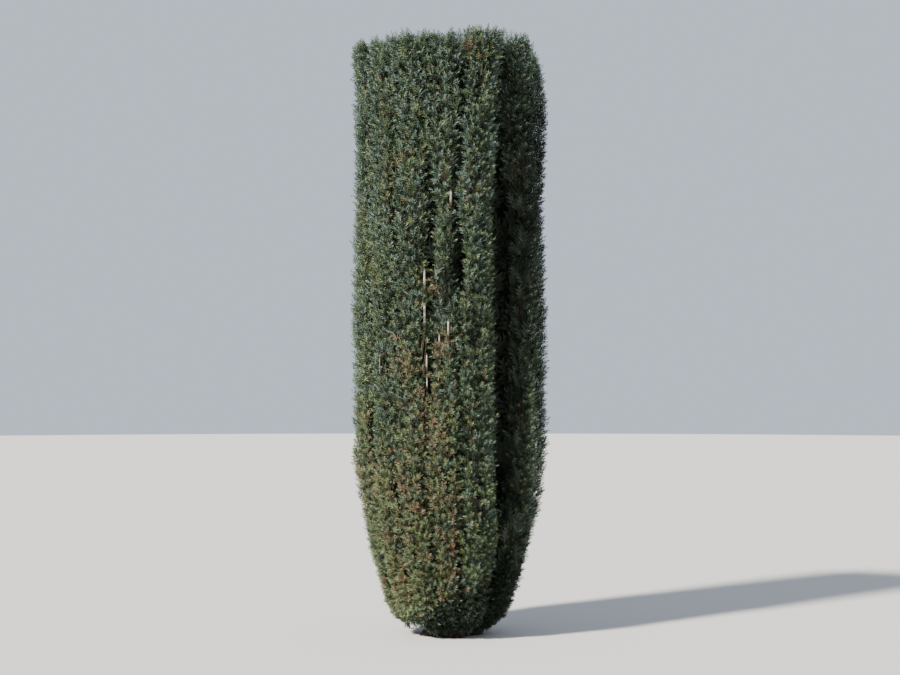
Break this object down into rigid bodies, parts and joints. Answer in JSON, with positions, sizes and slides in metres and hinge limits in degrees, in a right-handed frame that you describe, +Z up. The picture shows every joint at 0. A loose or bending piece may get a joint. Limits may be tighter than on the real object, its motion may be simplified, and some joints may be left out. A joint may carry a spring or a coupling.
{
  "type": "irish yew",
  "caption": "Upright evergreen tree with a level top: tall dense columns of needle foliage on steep boughs that leave a short flared trunk, rooted in the ground.",
  "frame": {"origin": "ground level, in the middle of the flat cut under the trunk", "axes": "+Z up the tree; the side that faces -Y is the side that the picture shows"},
  "size_m": [1.2078, 1.1731, 3.6576],
  "materials": {
    "bark": "flaking reddish-brown bark, matt",
    "foliage": "dark green needles with bronze and olive tints, satin above and matt below"
  },
  "bodies": {
    "root": {"trunk": "bark", "bough_01": "bark", "foliage_01": "foliage", "bough_02": "bark", "foliage_02": "foliage", "bough_03": "bark", "foliage_03": "foliage", "bough_04": "bark", "foliage_04": "foliage", "bough_05": "bark", "foliage_05": "foliage", "bough_06": "bark", "foliage_06": "foliage", "bough_07": "bark", "foliage_07": "foliage", "bough_08": "bark", "foliage_08": "foliage", "bough_09": "bark", "foliage_09": "foliage", "bough_10": "bark", "foliage_10": "foliage", "bough_11": "bark", "foliage_11": "foliage", "bough_12": "bark", "foliage_12": "foliage", "bough_13": "bark", "foliage_13": "foliage", "bough_14": "bark", "foliage_14": "foliage", "bough_15": "bark", "foliage_15": "foliage", "bough_16": "bark", "foliage_16": "foliage", "bough_17": "bark", "foliage_17": "foliage", "bough_18": "bark", "foliage_18": "foliage"}
  },
  "joints": []
}
